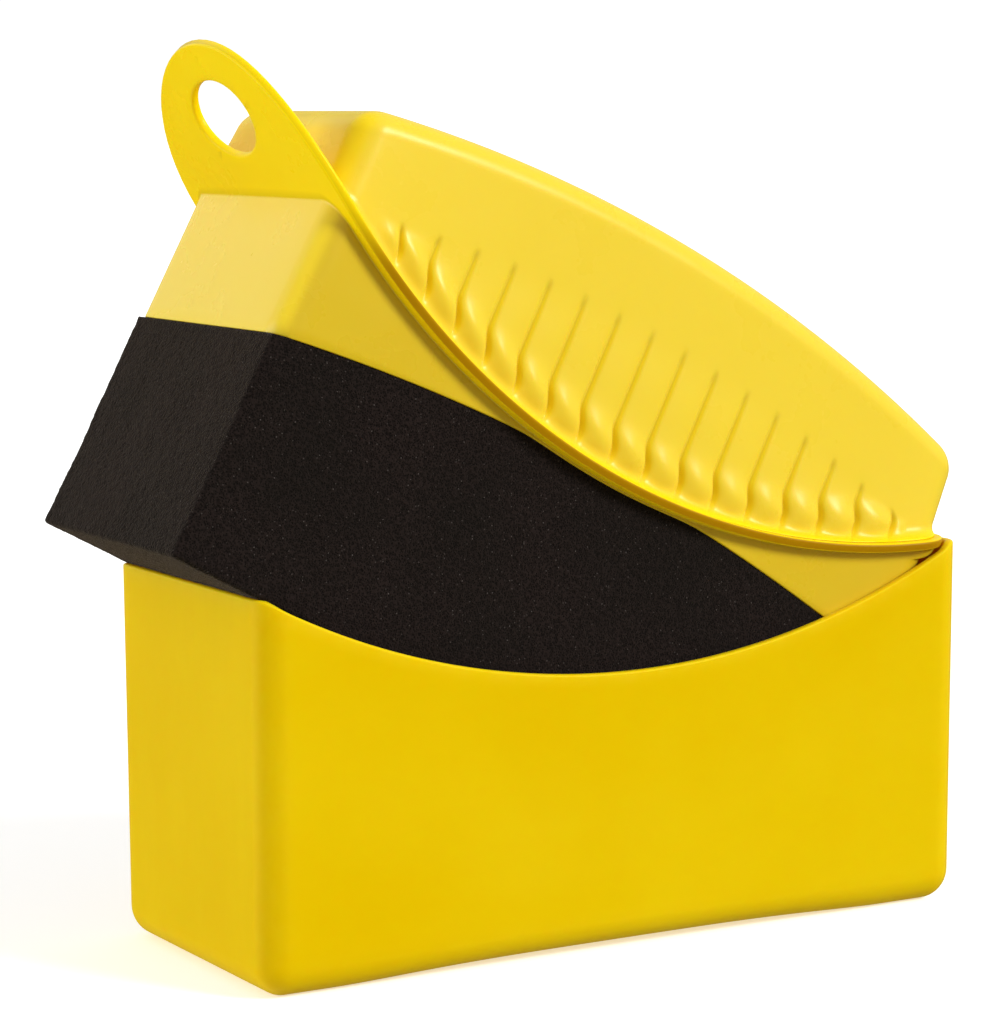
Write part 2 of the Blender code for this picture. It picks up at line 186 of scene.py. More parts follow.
def smooth_step(value):
    value = np.clip(value, 0, 1)
    return value * value * (3 - 2 * value)


def shares(steps):
    """Equal steps from 0, which is left out, to 1."""
    return np.linspace(0, 1, steps + 1)[1:]


def quarter_turn(steps, first=1):
    """What is left of the sine and of the cosine at equal steps of a quarter turn."""
    for i in range(first, steps + 1):
        turn = math.pi / 2 * i / steps
        yield 1 - math.sin(turn), 1 - math.cos(turn)


def flange_under(x):
    return circle_rise(x, FLANGE_RADIUS) - circle_rise(TIP_FROM_MIDDLE, FLANGE_RADIUS)


def flange_centre_z():
    """Height of the point that the flange's arc is drawn about."""
    return FLANGE_RADIUS - circle_rise(TIP_FROM_MIDDLE, FLANGE_RADIUS)


def flange_over(x):
    inner = FLANGE_RADIUS - FLANGE_THICKNESS
    return flange_centre_z() - np.sqrt(inner * inner - x * x)


def grip_top(x):
    return GRIP_CROWN_HEIGHT - circle_rise(x - GRIP_CENTRE_X, GRIP_CROWN_RADIUS)


def skirt_rim(x):
    """Lower edge of the skirt: a shallow arch, kept just under the flange at the middle."""
    arch = ARCH_CROWN_Z - circle_rise(x, ARCH_RADIUS)
    limit = flange_under(x) - SKIRT_LEAST_HEIGHT
    blend = 0.0004
    return -blend * np.log(np.exp(-arch / blend) + np.exp(-limit / blend))


def box_rim(x):
    """Top edge of the box: level at the ends and dipped along the long sides."""
    reach = np.minimum(np.abs(x - RIM_ARC_CENTRE_X), RIM_ARC_RADIUS * 0.9)
    arc = BOX_HEIGHT - RIM_DIP + circle_rise(reach, RIM_ARC_RADIUS)
    blend = 0.00025
    return BOX_HEIGHT - blend * np.log(np.exp((BOX_HEIGHT - arc) / blend) + 1.0)


class Plan:
    """How the points of every ring of one body are spaced round its outline."""

    def __init__(self, sides, ends, corners):
        self.sides = np.asarray(sides, float)
        self.ends = ends
        self.corners = corners
        turns = [math.pi / 2 * i / corners for i in range(1, corners)]
        self.turns = np.array(turns)
        self.side_count = len(self.sides)
        self.end_count = 2 * (corners - 1) + ends + 1
        self.count = 2 * (self.side_count + self.end_count)
        half = [True] * self.side_count + [False] * self.end_count
        self.on_side = np.array(half + half)

    def rounded(self, half_x, half_y, radius, centre_x=0.0):
        """A rounded rectangle from its near left corner, anticlockwise seen from above."""
        reach = half_x - radius
        near = np.stack([self.sides * reach, np.full(self.side_count, -half_y)], 1)
        out, up = radius * np.sin(self.turns), radius * (1 - np.cos(self.turns))
        first = np.stack([reach + out, -half_y + up], 1)
        straight = (half_y - radius) * np.linspace(-1, 1, self.ends + 1)
        middle = np.stack([np.full(self.ends + 1, half_x), straight], 1)
        last = np.stack([reach + out[::-1], half_y - up[::-1]], 1)
        half = np.concatenate([near, first, middle, last])
        ring = np.concatenate([half, -half])
        ring[:, 0] += centre_x
        return ring

    def cap(self, ring, height):
        """Rows of points that fill a ring, as a Coons patch, its border being the ring itself."""
        s, e = self.side_count, self.end_count
        near, right = ring[:s], ring[s : s + e]
        far, left = ring[s + e : 2 * s + e][::-1], ring[2 * s + e :][::-1]
        u = (self.sides + 1) / 2
        rows = []
        for i in range(e):
            v = (i + 1) / (e + 1)
            across = near * (1 - v) + far * v
            along = np.outer(1 - u, left[i]) + np.outer(u, right[i])
            corners = np.outer(1 - u, near[0] * (1 - v) + far[0] * v)
            corners += np.outer(u, near[-1] * (1 - v) + far[-1] * v)
            row = (across + along - corners)[1:-1]
            row[:, 2] = height(row[:, 0], row[:, 1])
            rows.append(row)
        return rows


def lift(ring, height):
    return np.column_stack([ring[:, :2], height])


def ring_faces(first, count, rings):
    """Quads between neighbouring rings of the same count, starting at vertex number first."""
    faces = []
    for i in range(rings - 1):
        a = first + i * count
        for j in range(count):
            k = (j + 1) % count
            faces.append((a + j, a + k, a + count + k, a + count + j))
    return faces


def cap_faces(plan, ring_start, inner_start, turned):
    """Quads that join a ring to the rows inside it."""
    s, e = plan.side_count, plan.end_count
    inner = s - 2
    grid = np.empty((e + 2, s), int)
    grid[0] = ring_start + np.arange(s)
    grid[-1] = ring_start + s + e + np.arange(s)[::-1]
    grid[1:-1, -1] = ring_start + s + np.arange(e)
    grid[1:-1, 0] = ring_start + 2 * s + e + np.arange(e)[::-1]
    grid[1:-1, 1:-1] = inner_start + np.arange(e * inner).reshape(e, inner)
    a, b = grid[:-1, :-1].ravel(), grid[:-1, 1:].ravel()
    c, d = grid[1:, 1:].ravel(), grid[1:, :-1].ravel()
    quads = np.stack([a, d, c, b] if turned else [a, b, c, d], 1)
    return [tuple(int(i) for i in q) for q in quads]


def ring_mesh(name, plan, rings, start_height, end_height):
    """A closed mesh from rings, with its first and last ring filled at the given heights."""
    count = plan.count
    points = [np.asarray(ring) for ring in rings]
    first_cap = plan.cap(rings[0], start_height)
    last_cap = plan.cap(rings[-1], end_height)
    faces = ring_faces(0, count, len(rings))
    inner_start = count * len(rings)
    faces += cap_faces(plan, 0, inner_start, True)
    inner_size = sum(len(row) for row in first_cap)
    faces += cap_faces(plan, count * (len(rings) - 1), inner_start + inner_size, False)
    points = np.concatenate(points + first_cap + last_cap)
    return mesh_object(name, points, faces)


def vertex_values(data, name, kind=float):
    """One vector for each of a mesh's points, such as its place or its normal."""
    values = np.empty(len(data.vertices) * 3, kind)
    data.vertices.foreach_get(name, values)
    return values.reshape(-1, 3)


def store(data, name, values):
    """Keeps a number for each of a mesh's points, for its material to read."""
    attribute = data.attributes.new(name, "FLOAT", "POINT")
    attribute.data.foreach_set("value", values.astype(np.float32))


def mesh_object(name, points, faces):
    data = bpy.data.meshes.new(name)
    data.from_pydata([tuple(p) for p in points], [], faces)
    data.validate()
    obj = bpy.data.objects.new(name, data)
    bpy.context.scene.collection.objects.link(obj)
    return obj


def smooth(obj):
    obj.data.shade_smooth()
    obj.data.set_sharp_from_angle(angle=math.radians(40))


def mark_bends(obj):
    """Stores how convex and how hollow the mesh is at each point, from 0 to 1, for worn edges and
    for painted shade in hollows.
    """
    data = obj.data
    points = vertex_values(data, "co")
    normals = vertex_values(data, "normal", np.float32)
    ends = np.empty(len(data.edges) * 2, np.int32)
    data.edges.foreach_get("vertices", ends)
    ends = ends.reshape(-1, 2)
    steps = points[ends[:, 1]] - points[ends[:, 0]]
    lengths = np.maximum(np.linalg.norm(steps, axis=1), 1e-6)
    for name, sign, radius in (("edge", 1.0, WORN_EDGE_RADIUS), ("hollow", -1.0, HOLLOW_RADIUS)):
        most = np.zeros(len(points))
        for here, way in ((0, -sign), (1, sign)):
            bend = way * (normals[ends[:, here]] * steps).sum(1) / lengths**2 * 2
            np.maximum.at(most, ends[:, here], bend)
        store(data, name, np.clip(most * radius, 0, 1))


# ---------------------------------------------------------------- storage box


def box_ring(plan, inset, z):
    """Outline of the box at heights z, with its draft and a further inset."""
    radius = max(BOX_CORNER_RADIUS - inset, BOX_LEAST_RADIUS)
    ring = plan.rounded(BOX_LENGTH / 2 - inset, BOX_WIDTH / 2 - inset, radius)
    low = 1.0 - z / BOX_HEIGHT
    ring[:, 0] *= 1.0 - 2 * BOX_END_DRAFT * low / BOX_LENGTH
    ring[:, 1] *= 1.0 - 2 * BOX_SIDE_DRAFT * low / BOX_WIDTH
    return np.column_stack([ring, z])


def level_box_ring(plan, inset, z):
    return box_ring(plan, inset, np.full(plan.count, z))


def base_arch(x, y):
    """The underside stands a millimetre clear of the table along the middle."""
    return BASE_ARCH * smooth_step(1.0 - (x / BASE_ARCH_HALF_LENGTH) ** 2)


def underside(x, y):
    """A panel let a little way into the underside, with the mark of the moulding gate."""
    edge = np.minimum(PANEL_HALF_LENGTH - np.abs(x), PANEL_HALF_WIDTH - np.abs(y))
    panel = PANEL_DEPTH * np.clip(edge / PANEL_SLOPE, 0, 1)
    gate = GATE_MARK_HEIGHT * np.exp(-((x * x + y * y) / GATE_MARK_RADIUS**2) ** 2)
    return base_arch(x, y) + panel - gate


def inner_floor(x, y):
    """The box's floor, seen from inside."""
    return np.full(x.shape, BOX_FLOOR) + base_arch(x, y) * FLOOR_ARCH_SHARE


def box_rings(plan):
    """Up the outside of the box, over its rim and down the inside to its floor."""
    rings = []
    foot, edge = BOX_FOOT_RADIUS, RIM_EDGE_RADIUS
    for sine, cosine in quarter_turn(12, 0):
        rings.append(level_box_ring(plan, foot * sine, foot * cosine))
    top = box_rim(plan.rounded(BOX_LENGTH / 2, BOX_WIDTH / 2, BOX_CORNER_RADIUS)[:, 0])
    for share in shares(21):
        rings.append(box_ring(plan, 0.0, foot + (top - edge - foot) * share))
    for sine, cosine in quarter_turn(5):
        rings.append(box_ring(plan, edge * cosine, top - edge * sine))
    for sine, cosine in quarter_turn(5, 0):
        rings.append(box_ring(plan, BOX_WALL - edge * sine, top - edge * cosine))
    inner = foot - BOX_WALL
    floor = BOX_FLOOR + inner
    for share in shares(11):
        rings.append(box_ring(plan, BOX_WALL, top - edge + (floor - top + edge) * share))
    for sine, cosine in quarter_turn(8):
        rings.append(level_box_ring(plan, BOX_WALL + inner * cosine, BOX_FLOOR + inner * sine))
    return [raise_foot(ring) for ring in rings]


def raise_foot(ring):
    """Carries the arch of the underside a short way up the long sides."""
    fade = np.clip(1.0 - ring[:, 2] / BASE_ARCH_FADE_HEIGHT, 0, 1)
    ring[:, 2] += base_arch(ring[:, 0], ring[:, 1]) * fade
    return ring


def make_box():
    plan = Plan(np.linspace(-1, 1, 121), 40, 12)
    obj = ring_mesh("box_moulding", plan, box_rings(plan), underside, inner_floor)
    smooth(obj)
    mark_bends(obj)
    return obj


# ---------------------------------------------------------------- handle moulding


def groove_sides():
    """Shares of the grip's long side, -1 to 1, with points close together at each groove."""
    reach = GRIP_HALF_LENGTH - GRIP_CORNER_RADIUS
    first = GROOVE_MIDDLE_X - GROOVE_PITCH * (GROOVE_COUNT - 1) / 2 - GRIP_CENTRE_X
    beside = np.array([0.2, 0.45, 0.7, 1.0, 1.5, 2.3, 3.2]) * 0.001
    offsets = np.concatenate([-beside[::-1], [0.0], beside, [GROOVE_PITCH / 2]])
    lines = first + GROOVE_PITCH * np.arange(GROOVE_COUNT)
    xs = (lines[:, None] + offsets[None]).ravel()
    xs = np.concatenate([np.linspace(-reach, xs[0], 6)[:-1], xs, np.linspace(xs[-1], reach, 6)[1:]])
    return xs / reach


def groove_offset(x, z):
    """How far the long side stands out, or is cut in, at a point of the finger grooves."""
    first = GROOVE_MIDDLE_X - GROOVE_PITCH * (GROOVE_COUNT - 1) / 2
    place = (x - first) / GROOVE_PITCH
    near = np.abs(place - np.round(place)) * GROOVE_PITCH
    outside = np.maximum(np.maximum(-place, place - (GROOVE_COUNT - 1)), 0.0)
    ends = smooth_step((0.5 - outside) / 0.15)
    down = grip_top(x) - GROOVE_TOP_DROP - z
    above = z - flange_over(x)
    low = smooth_step(above / COVE_RADIUS - 0.05)
    middle = 1.0 - (2 * near / GROOVE_PITCH - 1) ** 2
    puff = PUFF * np.exp(-(((above - PUFF_HEIGHT) / PUFF_SPREAD) ** 2)) * smooth_step(down / 0.0040)
    swell = (SWELL * smooth_step(down / 0.012) + puff) * middle
    cut = GROOVE_DEPTH * np.exp(-((near / GROOVE_WIDTH) ** 2)) * smooth_step(down / 0.0018)
    return (swell - cut) * low * ends


def groove_lean(x, above):
    """How far a groove has turned aside at a height above the flange, near its lower end."""
    reach = GRIP_HALF_LENGTH - GRIP_CORNER_RADIUS
    ends = smooth_step((1.0 - np.abs(x - GRIP_CENTRE_X) / reach) / 0.12)
    turn = smooth_step((GROOVE_LEAN_START - above) / (GROOVE_LEAN_START - COVE_RADIUS))
    return GROOVE_LEAN * ends * turn


def grip_ring(plan, inset, width):
    radius = max(GRIP_CORNER_RADIUS - inset, LEAST_RADIUS)
    return plan.rounded(GRIP_HALF_LENGTH - inset, width - inset, radius, GRIP_CENTRE_X)


def crown_rings(ring_at, edge, wall, steps):
    """Round the edge of the crown, from its top down, a wall's thickness below the outside."""
    rings = []
    for sine, cosine in quarter_turn(steps, 0):
        ring = ring_at(edge * sine)
        rings.append(lift(ring, grip_top(ring[:, 0]) - wall - edge * cosine))
    return rings


def grip_side_rings(plan, steps):
    """Down the sides of the grip to the top of the cove, with the finger grooves in them."""
    rings = []
    for share in shares(steps):
        width = GRIP_HALF_WIDTH_TOP + (GRIP_HALF_WIDTH_BASE - GRIP_HALF_WIDTH_TOP) * share
        ring = grip_ring(plan, 0.0, width)
        line = ring[:, 0].copy()
        above = grip_side_height(line, share) - flange_over(line)
        aside = groove_lean(line, above) * smooth_step(share / 0.5)
        ring[:, 0] += np.where(plan.on_side, aside, 0.0)
        z = grip_side_height(ring[:, 0], share)
        rings.append(groove(plan, lift(ring, z), line))
    return rings


def grip_side_height(x, share):
    """Height of the grip's side, a share of the way down from the crown's edge to the cove."""
    top = grip_top(x) - GRIP_EDGE_RADIUS
    return top + (flange_over(x) + cove_height(x) - top) * share


def groove(plan, ring, line):
    """Moves the long sides of a ring in and out by the finger grooves, which lie along line."""
    moved = np.sign(ring[:, 1]) * groove_offset(line, ring[:, 2])
    ring[:, 1] += np.where(plan.on_side, moved, 0.0)
    return ring


def cove_height(x):
    """Height of the cove over the flange, less at the right-hand end, where the ledge is narrow."""
    ledge = np.where(x > 0, FLANGE_HALF_LENGTH - np.abs(x), COVE_RADIUS)
    return np.minimum(COVE_RADIUS, np.maximum(ledge, COVE_LEAST_HEIGHT))


def on_flange(s, y, rise):
    """Points at an arc length along the flange's underside, raised along the arc's radius."""
    angle = s / FLANGE_RADIUS
    reach = FLANGE_RADIUS - rise
    return np.column_stack([reach * np.sin(angle), y, flange_centre_z() - reach * np.cos(angle)])


def flange_edge(plan):
    """The flange's outline as (arc length, y): round corners at the right, a half ellipse left."""
    right = FLANGE_RADIUS * math.asin(FLANGE_HALF_LENGTH / FLANGE_RADIUS)
    start = -FLANGE_RADIUS * TAB_START_ANGLE
    run = right - FLANGE_CORNER_RADIUS - start
    side = start + run * (plan.sides + 1) / 2
    near = np.column_stack([side, np.full(len(side), -FLANGE_HALF_WIDTH)])
    far = np.column_stack([side[::-1], np.full(len(side), FLANGE_HALF_WIDTH)])
    share = (np.arange(plan.end_count) + 1) / (plan.end_count + 1)
    tip = [flange_right_end(right, value) for value in share]
    turn = math.pi * (share - 0.5)
    reach = FLANGE_RADIUS * (TAB_TIP_ANGLE - TAB_START_ANGLE)
    tab = np.column_stack([start - reach * np.cos(turn), -FLANGE_HALF_WIDTH * np.sin(turn)])
    return np.concatenate([near, tip, far, tab])


def flange_right_end(right, share):
    radius = FLANGE_CORNER_RADIUS
    straight = FLANGE_HALF_WIDTH - radius
    if 0.3 <= share <= 0.7:
        return (right, straight * (share - 0.5) / 0.2)
    side = -1.0 if share < 0.5 else 1.0
    turn = math.pi / 2 * min(share, 1.0 - share) / 0.3
    return (right - radius * (1 - math.sin(turn)), side * (straight + radius * math.cos(turn)))


def towards_edge(base, edge, share, rise, reach=0.0):
    """A ring on the flange: out from an inner outline by a reach, then by a share of the rest."""
    s = FLANGE_RADIUS * np.arcsin(base[:, 0] / (FLANGE_RADIUS - rise))
    edge_s, edge_y = inset_edge(edge, FLANGE_LOW_RADIUS + FLANGE_EDGE_SLOPE + 0.0001)
    step_s, step_y = edge_s - s, edge_y - base[:, 1]
    length = np.hypot(step_s, step_y)
    first = np.minimum(reach, 0.6 * length)
    part = (first + (length - first) * share) / length
    return s + step_s * part, base[:, 1] + step_y * part


def inset_edge(edge, inset):
    centre = np.clip(edge[:, 0], -0.075, 0.065)
    away = edge - np.column_stack([centre, np.zeros(len(edge))])
    away *= (1.0 - inset / np.linalg.norm(away, axis=1))[:, None]
    return centre + away[:, 0], away[:, 1]


def flange_rings(plan):
    """The cove, the upper face, the rounded edge and the underside of the flange and hang tab."""
    base = grip_ring(plan, 0.0, GRIP_HALF_WIDTH_BASE)
    line = base[:, 0].copy()
    base[:, 0] += np.where(plan.on_side, groove_lean(line, 0.0), 0.0)
    edge = flange_edge(plan)
    over = FLANGE_THICKNESS
    cove = cove_height(base[:, 0])
    rings = []
    for sine, cosine in quarter_turn(10):
        s, y = towards_edge(base, edge, 0.0, over, COVE_RADIUS * cosine)
        ring = on_flange(s, y, over)
        ring[:, 2] += cove * sine
        rings.append(groove(plan, ring, line))
    for share in shares(10):
        s, y = towards_edge(base, edge, share, over, COVE_RADIUS)
        rings.append(on_flange(s, y, over))
    for sine, cosine in quarter_turn(6):
        s, y = inset_edge(edge, FLANGE_TOP_RADIUS * sine)
        rings.append(on_flange(s, y, over - FLANGE_TOP_RADIUS * cosine))
    for sine, cosine in quarter_turn(6, 0):
        s, y = inset_edge(edge, FLANGE_EDGE_SLOPE + FLANGE_LOW_RADIUS * cosine)
        rings.append(on_flange(s, y, FLANGE_LOW_RADIUS * sine))
    skirt = skirt_ring(plan, 0.0, 1.0)
    for share in np.linspace(1, 0.05, 12):
        s, y = towards_edge(skirt, edge, share, 0.0, 0.0005)
        rings.append(on_flange(s, y, 0.0))
    return rings


def skirt_ring(plan, inset, flare=0.0):
    """Outline of the skirt. Its right-hand end flares out, with squarer corners, under the tip."""
    radius = max(SKIRT_CORNER_RADIUS - inset, LEAST_RADIUS)
    reach = SKIRT_HALF_LENGTH - inset - radius
    side = SKIRT_HALF_WIDTH - inset - radius
    ring = plan.rounded(reach + radius, side + radius, radius)
    x, y = ring[:, 0], ring[:, 1]
    out = np.clip((x - reach) / radius, 0, 1)
    across = np.clip((np.abs(y) - side) / radius, 0, 1)
    wide_x = reach + (SKIRT_FLARE_HALF_LENGTH - reach) * np.sqrt(out)
    wide_y = np.where(across > 0, np.sign(y) * (side + radius * np.sqrt(across)), y)
    share = np.where(out > 0, flare, 0.0)
    return np.column_stack([x + (wide_x - x) * share, y + (wide_y - y) * share])


def skirt_rings(plan):
    """Down the outside of the skirt, round its lower edge and up to the plate's seat."""
    outer = skirt_ring(plan, 0.0)
    x = outer[:, 0]
    top, rim = flange_under(x), skirt_rim(x)
    scale = np.clip((top - rim) / 0.0012, 0.1, 1)
    rings = []
    for sine, cosine in quarter_turn(5):
        ring = skirt_ring(plan, -SKIRT_TOP_FILLET * sine, 1.0)
        drop = SKIRT_TOP_FILLET * cosine * scale
        rings.append(lift(ring, flange_under(ring[:, 0]) - drop))
    stop = rim + SKIRT_EDGE_RADIUS * scale
    flare_stop = np.maximum(top - SKIRT_FLARE_HEIGHT, (top + stop) / 2)
    for share in shares(8):
        ring = skirt_ring(plan, 0.0, 1.0 - share**3)
        start = flange_under(ring[:, 0]) - SKIRT_TOP_FILLET * scale
        rings.append(lift(ring, start + (flare_stop - start) * share))
    for share in shares(10):
        rings.append(lift(outer, flare_stop + (stop - flare_stop) * share))
    edge = SKIRT_EDGE_RADIUS
    for inset, drop in ((0.3, 0.3), (1.0, 0.0)):
        ring = skirt_ring(plan, edge * inset)
        rings.append(lift(ring, skirt_rim(ring[:, 0]) + edge * drop * scale))
    for inset, drop in ((SKIRT_WALL - edge, 0.0), (SKIRT_WALL, 0.3)):
        ring = skirt_ring(plan, inset)
        rings.append(lift(ring, skirt_rim(ring[:, 0]) + edge * drop * scale))
    for inset in (SKIRT_WALL, SKIRT_WALL + PLATE_LEDGE):
        ring = skirt_ring(plan, inset)
        rings.append(lift(ring, skirt_rim(ring[:, 0]) + PLATE_SEAT))
    return rings


def hollow_ring(plan, inset):
    radius = max(HOLLOW_CORNER_RADIUS - inset, LEAST_RADIUS)
    return plan.rounded(HOLLOW_HALF_LENGTH - inset, HOLLOW_HALF_WIDTH - inset, radius)


def crown_height(x, y):
    """The crown, a little fuller across its middle than at its edges."""
    across = 1.0 - (y / (GRIP_HALF_WIDTH_TOP - GRIP_EDGE_RADIUS)) ** 2
    along = 1.0 - (x / GRIP_HALF_LENGTH) ** 2
    return grip_top(x) + CROWN_FULLNESS * np.clip(across, 0, 1) * np.clip(along, 0, 1)


def hollow_height(x, y):
    """The ceiling of the hollow inside the grip."""
    return grip_top(x) - SHELL_WALL


def handle_rings(plan):
    """The whole moulding, from the crown down the outside, round the skirt and up the inside."""

    def outer(inset):
        return grip_ring(plan, inset, GRIP_HALF_WIDTH_TOP)

    def inner(inset):
        return hollow_ring(plan, inset)

    rings = crown_rings(outer, GRIP_EDGE_RADIUS, 0.0, 12)
    rings += grip_side_rings(plan, 36)
    rings += flange_rings(plan)
    rings += skirt_rings(plan)
    return rings + crown_rings(inner, GRIP_EDGE_RADIUS - SHELL_WALL / 2, SHELL_WALL, 4)[::-1]


def hole_plug():
    """The hang hole's cutter, which flares where it meets the two faces of the tab."""
    middle = -FLANGE_RADIUS * HANG_HOLE_ANGLE
    turn = np.linspace(0, 2 * math.pi, 97)[:-1]
    half = FLANGE_THICKNESS / 2
    upper = [HANG_HOLE_STRAIGHT, 0.55, 0.75, 0.9, 1.0, 1.02, 2.5]
    rings = []
    for rise in [-up for up in upper[::-1]] + upper:
        part = (min(abs(rise), 1.0) - HANG_HOLE_STRAIGHT) / (1.0 - HANG_HOLE_STRAIGHT)
        out = HANG_HOLE_FLARE * (1 - math.sqrt(max(1.0 - part**2, 0.0)))
        s = middle + (HANG_HOLE_HALF_HEIGHT + out) * np.cos(turn)
        y = (HANG_HOLE_HALF_WIDTH + out) * np.sin(turn)
        rings.append(on_flange(s, y, half + half * rise))
    count = len(turn)
    faces = ring_faces(0, count, len(rings))
    faces.append(tuple(range(count))[::-1])
    faces.append(tuple(range(count * (len(rings) - 1), count * len(rings))))
    return mesh_object("hole_plug", np.concatenate(rings), faces)


def cut_away(obj, cutter):
    """Cuts one mesh out of another, and removes the cutter."""
    for one in (obj, cutter):
        face_outwards(one)
    cut = obj.modifiers.new("cut", "BOOLEAN")
    cut.operation = "DIFFERENCE"
    cut.solver = "EXACT"
    cut.object = cutter
    graph = bpy.context.evaluated_depsgraph_get()
    made = bpy.data.meshes.new_from_object(obj.evaluated_get(graph))
    obj.modifiers.clear()
    old, obj.data = obj.data, made
    made.name = obj.name
    bpy.data.meshes.remove(old)
    bpy.data.meshes.remove(cutter.data)


def face_outwards(obj):
    """Turns every face of a closed mesh the right way out."""
    volume = 0.0
    points = [v.co for v in obj.data.vertices]
    for face in obj.data.polygons:
        a = points[face.vertices[0]]
        for i in range(1, len(face.vertices) - 1):
            volume += a.dot(points[face.vertices[i]].cross(points[face.vertices[i + 1]]))
    if volume < 0:
        obj.data.flip_normals()


def leaned():
    """Where the level applicator stands in the box."""
    turn = Matrix.Rotation(TILT, 4, "Y")
    return Matrix.Translation(TIP) @ turn @ Matrix.Translation((-TIP_FROM_MIDDLE, 0.0, 0.0))


def mark_places(obj):
    """Stores where the moulding is the grip, the thin edge of the flange, the skirt and its end:
    places that get painted light and shade and a gloss of their own.
    """
    data = obj.data
    points = vertex_values(data, "co")
    normals = vertex_values(data, "normal", np.float32)
    inward = np.array([0.0, 0.0, flange_centre_z()]) - points
    inward[:, 1] = 0.0
    distance = np.linalg.norm(inward, axis=1)
    rise = FLANGE_RADIUS - distance
    facing = np.abs((normals * inward).sum(1) / distance)
    on_grip = np.abs(points[:, 0] - GRIP_CENTRE_X) < GRIP_HALF_LENGTH + 0.0011
    at_end = smooth_step((-normals[:, 0] - 0.35) / 0.4)
    dome = smooth_step((rise - FLANGE_THICKNESS - 0.0003) / 0.0020) * on_grip
    skirt = rise < -0.0001
    in_flange = (rise > -0.00005) & (rise < FLANGE_THICKNESS + 0.00005)
    from_hole = FLANGE_RADIUS * (np.arctan2(-inward[:, 0], inward[:, 2]) + HANG_HOLE_ANGLE)
    by_hole = np.abs(from_hole) < HANG_HOLE_HALF_HEIGHT + 0.001
    by_hole &= np.abs(points[:, 1]) < HANG_HOLE_HALF_WIDTH + 0.001
    thin = smooth_step((0.85 - facing) / 0.4) * (in_flange & ~by_hole)
    # Painted light: the grip is painted paler, as if lit, less so where it faces left.
    store(data, "dome", dome * (1.0 - 0.75 * at_end))
    # Painted shade: the flange's thin edge is painted deep amber, fading out near the hang hole.
    store(data, "rim", thin * smooth_step((from_hole - 0.014) / 0.020))
    # Painted shade: the skirt, under the flange, is painted darker.
    store(data, "skirt", skirt)
    # Painted light: the skirt's end that faces left is painted back to a lit colour.
    store(data, "end", skirt * at_end)


def make_handle():
    plan = Plan(groove_sides(), 16, 10)
    obj = ring_mesh("handle_moulding", plan, handle_rings(plan), crown_height, hollow_height)
    cut_away(obj, hole_plug())
    mark_places(obj)
    obj.data.transform(leaned())
    smooth(obj)
    mark_bends(obj)
    return obj


# ---------------------------------------------------------------- foam pad


def block_grid(counts):
    """Points of a block's surface, -1 to 1 each way, with shared edges, and its quads."""
    index, points, faces = {}, [], []
    nx, ny, nz = counts

    def at(i, j, k):
        key = (i, j, k)
        if key not in index:
            index[key] = len(points)
            points.append((2 * i / nx - 1, 2 * j / ny - 1, 2 * k / nz - 1))
        return index[key]

    for i in range(nx):
        for j in range(ny):
            faces.append((at(i, j, 0), at(i, j + 1, 0), at(i + 1, j + 1, 0), at(i + 1, j, 0)))
            faces.append((at(i, j, nz), at(i + 1, j, nz), at(i + 1, j + 1, nz), at(i, j + 1, nz)))
    for i in range(nx):
        for k in range(nz):
            faces.append((at(i, 0, k), at(i + 1, 0, k), at(i + 1, 0, k + 1), at(i, 0, k + 1)))
            faces.append((at(i, ny, k), at(i, ny, k + 1), at(i + 1, ny, k + 1), at(i + 1, ny, k)))
    for j in range(ny):
        for k in range(nz):
            faces.append((at(0, j, k), at(0, j, k + 1), at(0, j + 1, k + 1), at(0, j + 1, k)))
            faces.append((at(nx, j, k), at(nx, j + 1, k), at(nx, j + 1, k + 1), at(nx, j, k + 1)))
    return np.array(points), faces


def rounded_block(unit, half, radius):
    """Moves a unit block's points onto one of these half sizes, round but for its top edges."""
    points = unit * half
    high = half - radius
    high[2] = half[2]
    core = np.clip(points, radius - half, high)
    away = points - core
    length = np.maximum(np.linalg.norm(away, axis=1), 1e-9)
    return core + away * (np.abs(away).max(axis=1) / length)[:, None]


def value_noise(points, cell, seed):
    """Smooth random values from -1 to 1 at the given points, a cell being this many metres."""
    place = points / cell
    low = np.floor(place).astype(np.int64)
    part = place - low
    part = part * part * (3 - 2 * part)
    total = np.zeros(len(points))
    for corner in range(8):
        step = np.array([corner & 1, corner >> 1 & 1, corner >> 2 & 1])
        key = (low + step) @ np.array([73856093, 19349663, 83492791]) + seed * 2654435761
        key = (key ^ (key >> 13)) * 1274126177 & 0xFFFFFFFF
        key = (key ^ (key >> 16)) * 2246822519 & 0xFFFFFFFF
        value = (key & 0xFFFF) / 32767.5 - 1.0
        weight = np.prod(np.where(step, part, 1 - part), axis=1)
        total += value * weight
    return total


